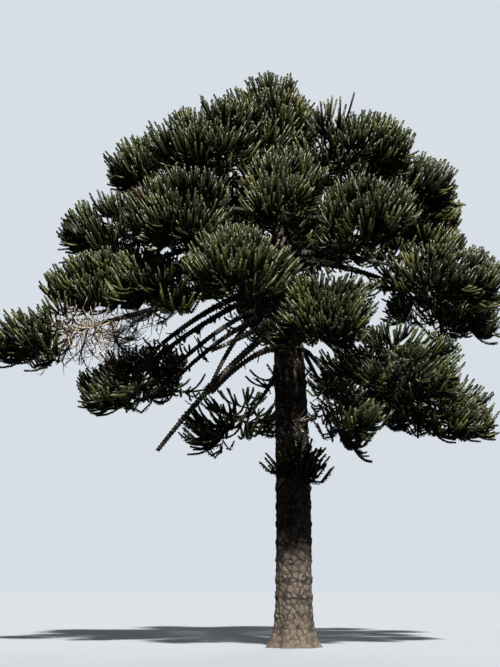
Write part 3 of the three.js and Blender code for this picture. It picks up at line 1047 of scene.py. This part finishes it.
# %% Leaves along ropes
LEAF_STEP = 0.033
LEAF_LENGTH = 0.05
LEAF_WIDTH = 0.05
LEAF_FOLD = 0.01
LEAF_WIDEST = 0.4
LEAF_LEANS = (24, 16)
LEAFY_SHARE = 0.95
LEAF_TURN = 1.7
LEAF_CORNERS = 4
CORE_RADIUS = 0.03
ROOT_DEPTH = 0.7
FEWEST_LEAVES = 9


def leaf_count(rope):
    return max(round(rope.length() / LEAF_STEP), FEWEST_LEAVES)


def leaf_mesh(ropes):
    """Points and faces of all the leaves on some ropes, and the rope of each face."""
    starts, bends, ends = line_points(ropes)
    normals = line_frames(starts, bends, ends)
    counts = np.array([leaf_count(rope) for rope in ropes])
    rope_of = np.repeat(np.arange(len(ropes)), counts)
    order = np.concatenate([np.arange(count) for count in counts])
    share = ((order + 0.5) / counts[rope_of])[:, None] * LEAFY_SHARE
    curves = (starts[rope_of], bends[rope_of], ends[rope_of], share)
    middle = on_curve(*curves)
    way = curve_heading(*curves)
    normal = normals[rope_of]
    upright = np.cross(normal, way)
    turn = (order * GOLDEN_TURN + rope_of * LEAF_TURN)[:, None]
    radial = normal * np.cos(turn) + upright * np.sin(turn)
    across = np.cross(way, radial)
    lean = np.radians(between(*LEAF_LEANS, share))
    leaf_way = way * np.cos(lean) + radial * np.sin(lean)
    back = np.cross(across, leaf_way)
    root = middle + radial * CORE_RADIUS * ROOT_DEPTH
    widest = root + leaf_way * LEAF_LENGTH * LEAF_WIDEST - back * LEAF_FOLD
    left = widest + across * LEAF_WIDTH / 2
    right = widest - across * LEAF_WIDTH / 2
    tip = root + leaf_way * LEAF_LENGTH
    points = np.stack([root, right, tip, left], axis=1).reshape(-1, 3)
    first = np.arange(len(rope_of))[:, None] * LEAF_CORNERS
    faces = np.stack([first + [0, 1, 2], first + [0, 2, 3]], axis=1).reshape(-1, 3)
    return points, faces, np.repeat(rope_of, 2)


# %% Pieces of leaves and ropes
PIECE_LIMIT = 190_000
ROPE_SHAPE = [(0, 0.8), (0.5, 1.0), (1.0, 0.8)]
ROPE_SIDES = 5
LEAF_ROUGHNESS = 0.34
LEAF_SHINE = 0.28

leaf_finishes = []
for name, tone, _ in TONES:
    finish = Finish(name, LEAF_ROUGHNESS)
    finish.feed("Specular IOR Level", LEAF_SHINE)
    finish.feed("Base Color", colour(*tone))
    leaf_finishes.append(finish.material)


def dress(made, finishes, nodes=()):
    """Gives a piece its finishes, its body and the solids that it stands for."""
    for material in finishes:
        made.data.materials.append(material)
    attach(made, "root")
    if nodes:
        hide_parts(*nodes)
    print(made.name, "triangles:", triangles(made))


def rope_pieces(number, limbs_here):
    """The leaves and the rope cores of some masses, as two pieces."""
    sprays = [spray for limb in limbs_here for spray in limb.sprays]
    ropes = [rope for spray in sprays for rope in spray.ropes]
    tones = np.array([spray.tone for spray in sprays for rope in spray.ropes])
    points, faces, rope_of = leaf_mesh(ropes)
    leaves = mesh_object(f"leaves_{number}", points, [faces], tones[rope_of])
    dress(leaves, leaf_finishes, ["foliage_" + limb.name for limb in limbs_here])
    points, faces = tubes(ropes, [(CORE_RADIUS, CORE_RADIUS)] * len(ropes), ROPE_SIDES, ROPE_SHAPE)
    wall_tones = np.repeat(tones, ROPE_SIDES * (len(ROPE_SHAPE) - 1))
    core_tones = np.concatenate([wall_tones, tones, tones])
    cores = mesh_object(f"ropes_{number}", points, faces, core_tones, smooth=True)
    dress(cores, leaf_finishes)


def leaf_triangles(limb):
    return 2 * sum(leaf_count(rope) for spray in limb.sprays for rope in spray.ropes)


batches = [[]]
filled = 0
for limb in masses:
    filled += leaf_triangles(limb)
    if filled > PIECE_LIMIT:
        batches.append([])
        filled = leaf_triangles(limb)
    batches[-1].append(limb)
for number, batch in enumerate(batches, start=1):
    rope_pieces(number, batch)

# %% [markdown]
# ## Twigs and stems
# Under the leaves run the wooden parts of each tuft: its stem, the branchlets and the twigs. Little of
# them shows, so they are plain tubes with few sides, tapered towards their tips. Their bark is dark
# with paler stretches and fine cracks.

# %% Twigs and stems
BRANCHLET_RADII = (0.034, 0.02)
TWIG_RADII = (0.02, 0.012)
TWIG_SIDES = 4
STEM_SIDES = 7
STEM_TIP = 0.03
TWIG_SHAPE = [(0, 1.0), (0.35, 1.0), (0.7, 1.0), (1.0, 1.0)]


def speckled_finish(name, dark, pale, scale):
    """Bark of twigs, with dark and pale stretches and fine cracks."""
    finish = Finish(name, roughness=0.85)
    place = finish.place()
    cloud = finish.steps(finish.noise(place, scale, detail=2.0), low=0.4, high=0.6)
    cracks = finish.noise(place, scale=90, detail=2.0)
    finish.feed("Base Color", finish.mix(cloud, colour(*dark), colour(*pale)))
    finish.bump(cracks, distance=0.004, strength=0.6)
    return finish.material


def tube_piece(name, lines, radii, sides, shape, finish):
    """Tubes along lines, as one piece."""
    points, faces = tubes(lines, radii, sides, shape)
    dress(mesh_object(name, points, faces, smooth=True), [finish])


twig_finish = speckled_finish("twig_bark", dark=(26, 23, 20), pale=(58, 50, 43), scale=11)
wood_radii = [BRANCHLET_RADII] * len(branchlets) + [TWIG_RADII] * len(twigs)
tube_piece("twigs", branchlets + twigs, wood_radii, TWIG_SIDES, TWIG_SHAPE, twig_finish)
stems = [limb.stem_line for limb in masses]
stem_radii = [(limb.tip_radius, STEM_TIP) for limb in masses]
tube_piece("stems", stems, stem_radii, STEM_SIDES, TWIG_SHAPE, twig_finish)

# %% [markdown]
# ## The trunk
# The bark of an old tree is a thick, corky shell. It cracks into plates like a tortoise's back, and
# rows of round scars show where whorls of branches fell as the tree grew. A column is cut into narrow
# bands first. Its points are then moved to the line and radius of the trunk, with the root flare, and
# Displace modifiers raise the plates. A bump alone would leave the outline of the trunk as smooth as a
# pipe. How far each point was raised is kept with it, so that the finish can paint shade into the cracks.

# %% A column cut into narrow bands
TRUNK_SIDES = 128
TRUNK_CUTS = 20
LEVEL_GAP = 1e-4


def only(made):
    """Leaves one object selected and active."""
    bpy.ops.object.select_all(action="DESELECT")
    made.select_set(True)
    bpy.context.view_layer.objects.active = made


def column(name, radius, height, sides):
    bpy.ops.object.select_all(action="DESELECT")
    middle = (0, 0, height / 2)
    bpy.ops.mesh.primitive_cylinder_add(vertices=sides, radius=radius, depth=height, location=middle)
    bpy.ops.object.transform_apply()
    bpy.context.object.name = name
    return bpy.context.object


def edit_picked(made, kind, is_picked, change):
    """Makes a change in edit mode to the corners or edges that a test picks."""
    only(made)
    bpy.ops.object.mode_set(mode="EDIT")
    bpy.ops.mesh.select_mode(type=kind)
    bpy.ops.mesh.select_all(action="DESELECT")
    mesh = bmesh.from_edit_mesh(made.data)
    for part in mesh.edges if kind == "EDGE" else mesh.verts:
        part.select_set(is_picked(part))
    bmesh.update_edit_mesh(made.data)
    change()
    bpy.ops.object.mode_set(mode="OBJECT")


def is_upright(edge):
    return abs(edge.verts[0].co.z - edge.verts[1].co.z) > LEVEL_GAP


def cut_upright_edges(made, cuts):
    """Adds level rings to a column, by cutting it twice."""
    for _ in range(2):
        edit_picked(made, "EDGE", is_upright, lambda: bpy.ops.mesh.subdivide(number_cuts=cuts))


def points_of(made):
    points = np.empty(len(made.data.vertices) * 3, np.float32)
    made.data.vertices.foreach_get("co", points)
    return points.reshape(-1, 3).astype(float)


def move_points(made, points):
    made.data.vertices.foreach_set("co", points.astype(np.float32).ravel())
    made.data.update()


trunk = column("trunk_bark", 1.0, TRUNK_TOP, TRUNK_SIDES)
cut_upright_edges(trunk, TRUNK_CUTS)
print("rings:", len(trunk.data.vertices) // TRUNK_SIDES)

# %% The trunk's line, flare and scars
SCAR_ROWS = np.arange(0.8, 12.0, 0.46)
SCARS_IN_ROW = 6
SCAR_RADIUS = 0.055
SCAR_RIM = 0.022
SCAR_DIP = 0.026
ROW_SWELL = 0.014
ROW_WIDTH = 0.06
SCAR_SEED = 77
SCAR_UNEVEN = 0.3
SCAR_UP = 0.12
RIM_PLACE = 1.2
RIM_SHARPNESS = 4
SMOOTH_FOOT = 0.3


def scar_relief(heights, angles, radii):
    """How far the bark stands out round the scars of each fallen whorl."""
    draw = random_from(SCAR_SEED)
    relief = np.zeros(len(heights))
    for row in SCAR_ROWS:
        relief += ROW_SWELL * np.exp(-(((heights - row) / ROW_WIDTH) ** 2))
        first = draw() * FULL_TURN
        for scar in range(SCARS_IN_ROW):
            turn = first + (scar + SCAR_UNEVEN * draw()) * FULL_TURN / SCARS_IN_ROW
            up = heights - row - SCAR_UP * (draw() - 0.5)
            aside = (angles - turn + math.pi) % FULL_TURN - math.pi
            away = np.hypot(up, aside * radii) / SCAR_RADIUS
            rim = SCAR_RIM * np.exp(-((away - RIM_PLACE) ** 2) * RIM_SHARPNESS)
            relief += rim - SCAR_DIP * np.exp(-(away**2))
    return relief


points = points_of(trunk)
heights = points[:, 2]
angles = np.arctan2(points[:, 1], points[:, 0])
lobes = 1 + LOBE_SHARE * np.cos(ROOT_LOBES * angles)
radii = trunk_radius(heights) + flare_radius(heights) * lobes
scars = scar_relief(heights, angles, radii) * np.clip(heights / SMOOTH_FOOT, 0, 1)
level = np.stack([np.cos(angles), np.sin(angles), np.zeros(len(angles))], axis=1)
centres = trunk_middle(heights) * [1, 1, 0] + UP * heights[:, None]
move_points(trunk, centres + level * (radii + scars)[:, None])
print("scars:", len(SCAR_ROWS) * SCARS_IN_ROW, "deepest", scars.min().round(3), "m")

# %% Raised plates of bark
PLATE = {"noise_scale": 0.17, "weight_1": -1.0, "weight_2": 1.0, "noise_intensity": 1.6}
CRUMB = {"noise_scale": 0.035, "noise_depth": 2}
PLATE_RISE = 0.045
CRUMB_RISE = 0.014
FOOT_SPARED = 0.02
RAISED_RANGE = (3, 97)
SCAR_DARKNESS = 8


def roughen(made, kind, settings, strength, group=""):
    """Adds a Displace modifier with one of Blender's textures, and applies it."""
    texture = bpy.data.textures.new(f"{made.name}_{kind.lower()}", type=kind)
    for name, value in settings.items():
        setattr(texture, name, value)
    only(made)
    bpy.ops.object.modifier_add(type="DISPLACE")
    modifier = made.modifiers[-1]
    modifier.texture = texture
    modifier.strength = strength
    modifier.vertex_group = group
    bpy.ops.object.modifier_apply(modifier=modifier.name)


def keep_with_points(made, name, values):
    """Stores a number with each point, for the finish to read."""
    attribute = made.data.attributes.new(name, "FLOAT", "POINT")
    attribute.data.foreach_set("value", np.asarray(values, np.float32))


above_foot = trunk.vertex_groups.new(name="above_foot")
above_foot.add([int(i) for i in np.nonzero(heights > FOOT_SPARED)[0]], 1.0, "REPLACE")
before = points_of(trunk)
roughen(trunk, "VORONOI", PLATE, PLATE_RISE, "above_foot")
raised = ((points_of(trunk) - before) * level).sum(axis=1)
roughen(trunk, "CLOUDS", CRUMB, CRUMB_RISE, "above_foot")
after = points_of(trunk)
move_points(trunk, np.column_stack([after[:, :2], np.clip(after[:, 2], 0, TRUNK_TOP)]))
low, high = np.percentile(raised[heights > FOOT_SPARED], RAISED_RANGE)
# The lowest points, the cracks, end near 0 and take the near-black crack tone, which is painted shade.
# Scar rims and row swells are pushed darker too, and the scars' dips paler.
shade = np.clip((raised - low) / (high - low), 0, 1) - scars * SCAR_DARKNESS
keep_with_points(trunk, "raised", shade)
only(trunk)
bpy.ops.object.shade_smooth()
print("plates stand out by up to", round(float(raised.max() - raised.min()), 3), "m")

# %% [markdown]
# ## The finish of the trunk
# The plates are grey-brown with an upright grain, and the cracks between them are painted shade, nearly
# black. Pale lichen grows in patches on the plates only. The height kept with each point tells plate
# from crack.

# %% The finish of the trunk
# Painted shade: the near-black tone of the cracks between the plates.
CRACK_SHADE_TONE = colour(26, 22, 19)
PLATE_TONES = (colour(58, 49, 41), colour(96, 85, 73))
LICHEN_TONE = colour(112, 110, 98)
LICHEN_SHARE = 0.6
PATCH_WEIGHT = 0.5
GRAIN_RELIEF = 0.6

plated = Finish("plated_bark", roughness=0.93)
grain = plated.noise(plated.place(stretch=(1, 1, 0.3)), scale=55, detail=5.0)
patches = plated.noise(plated.place(), scale=2.2, detail=4.0)
specks = plated.noise(plated.place(), scale=14, detail=6.0)
lumps = plated.noise(plated.place(), scale=18, detail=4.0)
lichen = plated.steps(specks + patches * PATCH_WEIGHT, low=0.82, high=0.98)
plate = plated.steps(plated.kept("raised"), low=0.05, high=0.4)
plate_tone = plated.mix(plated.steps(grain, low=0.3, high=0.7), *PLATE_TONES)
# The plates take their own tone, and the cracks take painted shade.
bark_with_crack_shade = plated.mix(plate, CRACK_SHADE_TONE, plate_tone)
plated.feed("Base Color", plated.mix(lichen * plate * LICHEN_SHARE, bark_with_crack_shade, LICHEN_TONE))
plated.bump(grain * GRAIN_RELIEF + lumps, distance=0.02, strength=0.7)
dress(trunk, [plated.material], ["trunk"])

# %% [markdown]
# ## The boughs
# A bough of this tree is a long bare pole, ringed every few centimetres by the scars of old leaves
# and side shoots. A straight sleeve of that bark is modelled once: a column, with every fourth ring
# widened and the one halfway between narrowed, then roughened. Each bough is a copy of the sleeve's
# relief, wrapped round its own line and tapered, with a swollen collar at the trunk. The four dead
# limbs take the same sleeve and end in splinters.

# %% A sleeve of ringed bark, modelled once
SLEEVE_SIDES = 12
SLEEVE_CUTS = 15
SLEEVE_RADIUS = 0.1
RING_STEP = 0.024
RINGS_IN_SLEEVE = (SLEEVE_CUTS + 1) ** 2
SCAR_EVERY = 4
SCAR_WIDER = 1.16
SLEEVE_CRUMB = {"noise_scale": 0.06, "noise_depth": 2}
SLEEVE_RISE = 0.02


def widen_rings(made, which, times):
    """Scales the rings of a column whose number divided by SCAR_EVERY leaves a given rest."""
    edit_picked(
        made,
        "VERT",
        lambda corner: round(corner.co.z / RING_STEP) % SCAR_EVERY == which,
        lambda: bpy.ops.transform.resize(value=(times, times, 1)),
    )


sleeve = column("bark_sleeve", SLEEVE_RADIUS, RINGS_IN_SLEEVE * RING_STEP, SLEEVE_SIDES)
cut_upright_edges(sleeve, SLEEVE_CUTS)
straight = points_of(sleeve)
angles = np.arctan2(straight[:, 1], straight[:, 0])
turns = np.round(angles / FULL_TURN * SLEEVE_SIDES) % SLEEVE_SIDES
grid_order = np.lexsort((turns, np.round(straight[:, 2] / RING_STEP)))
widen_rings(sleeve, 0, SCAR_WIDER)
widen_rings(sleeve, 2, 2 - SCAR_WIDER)
roughen(sleeve, "CLOUDS", SLEEVE_CRUMB, SLEEVE_RISE)
across = np.hypot(*points_of(sleeve)[grid_order, :2].T)
sleeve_relief = across.reshape(-1, SLEEVE_SIDES)[:-1] / SLEEVE_RADIUS - 1
bpy.data.objects.remove(sleeve)
print("sleeve:", sleeve_relief.shape, "relief up to", sleeve_relief.max().round(2))

# %% Wrapping the sleeve round a line
COLLAR_SHARE = 0.4
COLLAR_REACH = 0.16
SPLINTER = 0.09
SPLINTER_SEED = 5
SPLINTER_MIDDLE = 0.3
KNOTS = {"dead": 0.62, "broken": 0.3}
KNOT_SHARE = 0.7
KNOT_REACH = 0.11
BURIED = 0.7
FINE_STEPS = 400
FEWEST_RINGS = 4
SLEEVE_SHIFT = 16


def even_shares(line, first):
    """Shares of a line that are one ring apart along it."""
    fine = np.linspace(first, 1, FINE_STEPS)
    along = np.concatenate([[0], np.cumsum(norm(np.diff(line.at(fine), axis=0), axis=1))])
    count = max(FEWEST_RINGS, math.ceil(along[-1] / RING_STEP) + 1)
    wanted = np.linspace(0, along[-1], count)
    return np.interp(wanted, along, fine), wanted


def wrap(limb, index, snapped):
    """One limb's points, walls, ends, relief and distance along, with the sleeve round its line."""
    line = limb.bough_line
    fine = np.linspace(0, 1, FINE_STEPS)
    spots = line.at(fine)
    from_axis = norm((spots - trunk_middle(spots[:, 2]))[:, :2], axis=1)
    first = fine[np.argmax(from_axis > trunk_radius(spots[:, 2]) * BURIED)]
    shares, along = even_shares(line, first)
    count = len(shares)
    middles, ways = line.at(shares), line.heading(shares)
    normal = line_frames(*line_points([line]))[0]
    relief = sleeve_relief[(np.arange(count) + index * SLEEVE_SHIFT) % len(sleeve_relief)]
    collar = 1 + COLLAR_SHARE * np.exp(-along / COLLAR_REACH)
    radius = between(limb.radius, limb.tip_radius, shares) * collar
    if limb.name in KNOTS:
        away = along - np.interp(KNOTS[limb.name], shares, along)
        radius *= 1 + KNOT_SHARE * np.exp(-((away / KNOT_REACH) ** 2))
    out = ring_ways(normal, ways, SLEEVE_SIDES)
    rings = middles[:, None] + out * (radius[:, None] * (1 + relief))[..., None]
    if snapped:
        draw = random_from(index + SPLINTER_SEED)
        ragged = np.array([draw() for _ in range(SLEEVE_SIDES)])
        rings[-1] += ways[-1] * (ragged[:, None] - SPLINTER_MIDDLE) * SPLINTER
    walls, root, tip = tube_faces(1, count, SLEEVE_SIDES)
    ends = np.concatenate([root, tip])
    return rings.reshape(-1, 3), walls, ends, relief.ravel(), np.repeat(along, SLEEVE_SIDES)


def wrapped_limbs(name, limbs_here, snapped):
    """Several limbs in one piece."""
    parts = [wrap(limb, index, snapped) for index, limb in enumerate(limbs_here)]
    firsts = np.cumsum([0] + [len(part[0]) for part in parts])
    points, relief, along = (np.concatenate([part[i] for part in parts]) for i in (0, 3, 4))
    faces = [np.concatenate([p[i] + first for p, first in zip(parts, firsts)]) for i in (1, 2)]
    made = mesh_object(name, points, faces, smooth=True)
    keep_with_points(made, "raised", relief)
    keep_with_points(made, "along", along)
    return made


# %% [markdown]
# ## The finish of the boughs
# Live boughs are dark, with slightly paler bands between their scars. Dead ones have weathered to
# patches of nearly white wood. Both follow the distance along the bough and the relief, which are
# kept with each point, and both get painted shade in the hollows where the relief is low.

# %% The finish of live and dead boughs
# The first tone of each is painted shade for the hollows between the rings. The other two are the bark's
# or the wood's own colours.
LIVE_TONES = ((22, 18, 15), (44, 37, 31), (78, 69, 59))
DEAD_TONES = ((30, 26, 22), (58, 50, 43), (196, 186, 170))
CLOUD_WEIGHT = 1.4
GRAIN_WEIGHT = 0.4
WAVE_RELIEF = 0.3


def ringed_finish(name, tones, banding):
    """Bark with bands between its ring scars, and painted shade in its hollows."""
    shade_in_hollows, middle, pale = (colour(*tone) for tone in tones)
    finish = Finish(name, roughness=0.9)
    phase = finish.kept("along") * (FULL_TURN / (RING_STEP * SCAR_EVERY))
    wave = finish.node("ShaderNodeMath", {"operation": "SINE"}, {0: phase})
    cloud = finish.noise(finish.place(), scale=7, detail=4.0)
    grain = finish.noise(finish.place(), scale=60, detail=4.0)
    pattern = wave * banding + cloud * CLOUD_WEIGHT + grain * GRAIN_WEIGHT
    bands = finish.steps(pattern, low=0.95, high=1.35)
    # Painted shade: where the relief is low, the hollows take the first and darkest tone.
    hollow_shade_mask = finish.steps(finish.kept("raised"), low=-0.15, high=0.1)
    finish.feed("Base Color", finish.mix(hollow_shade_mask, shade_in_hollows, finish.mix(bands, middle, pale)))
    finish.bump(grain + wave * WAVE_RELIEF, distance=0.012, strength=0.8)
    return finish.material


bough_finish = ringed_finish("ringed_bark", LIVE_TONES, banding=0.2)
dead_finish = ringed_finish("weathered_wood", DEAD_TONES, banding=0.5)
boughs = wrapped_limbs("boughs", live_limbs + side_limbs, snapped=False)
dress(boughs, [bough_finish], ["bough_" + limb.name for limb in live_limbs])
dead = wrapped_limbs("dead_limbs", dead_limbs, snapped=True)
dress(dead, [dead_finish], ["bough_" + limb.name for limb in dead_limbs])

# %% [markdown]
# ## Bare shoots and bleached twigs
# Shoots that lost their leaves keep the rings where these stood. A tube whose rings are wide and
# narrow by turns shows that, and two finishes tell the dark stubs from the bleached twigs.

# %% Bare shoots and bleached twigs
RINGED_PLACES = (0, 0.14, 0.28, 0.42, 0.56, 0.7, 0.85, 1.0)
RINGED_WIDTHS = (1.0, 0.75, 1.05, 0.7, 0.95, 0.65, 0.85, 0.5)
RINGED_SHAPE = list(zip(RINGED_PLACES, RINGED_WIDTHS))
BARE_RADII = (0.024, 0.016)
BARE_SIDES = 5
BLEACHED_RADII = (0.02, 0.01)
BLEACHED_TWIG_RADII = (0.013, 0.008)

stub_finish = speckled_finish("bare_shoot_bark", dark=(26, 22, 19), pale=(84, 74, 62), scale=14)
stub_radii = [BARE_RADII] * len(bare_shoots)
tube_piece("bare_shoots", bare_shoots, stub_radii, BARE_SIDES, RINGED_SHAPE, stub_finish)
pale_finish = speckled_finish("bleached_wood", dark=(92, 80, 68), pale=(196, 184, 166), scale=9)
pale_lines = bleached + bleached_twigs
pale_radii = [BLEACHED_RADII] * len(bleached) + [BLEACHED_TWIG_RADII] * len(bleached_twigs)
tube_piece("bleached_twigs", pale_lines, pale_radii, TWIG_SIDES, RINGED_SHAPE, pale_finish)
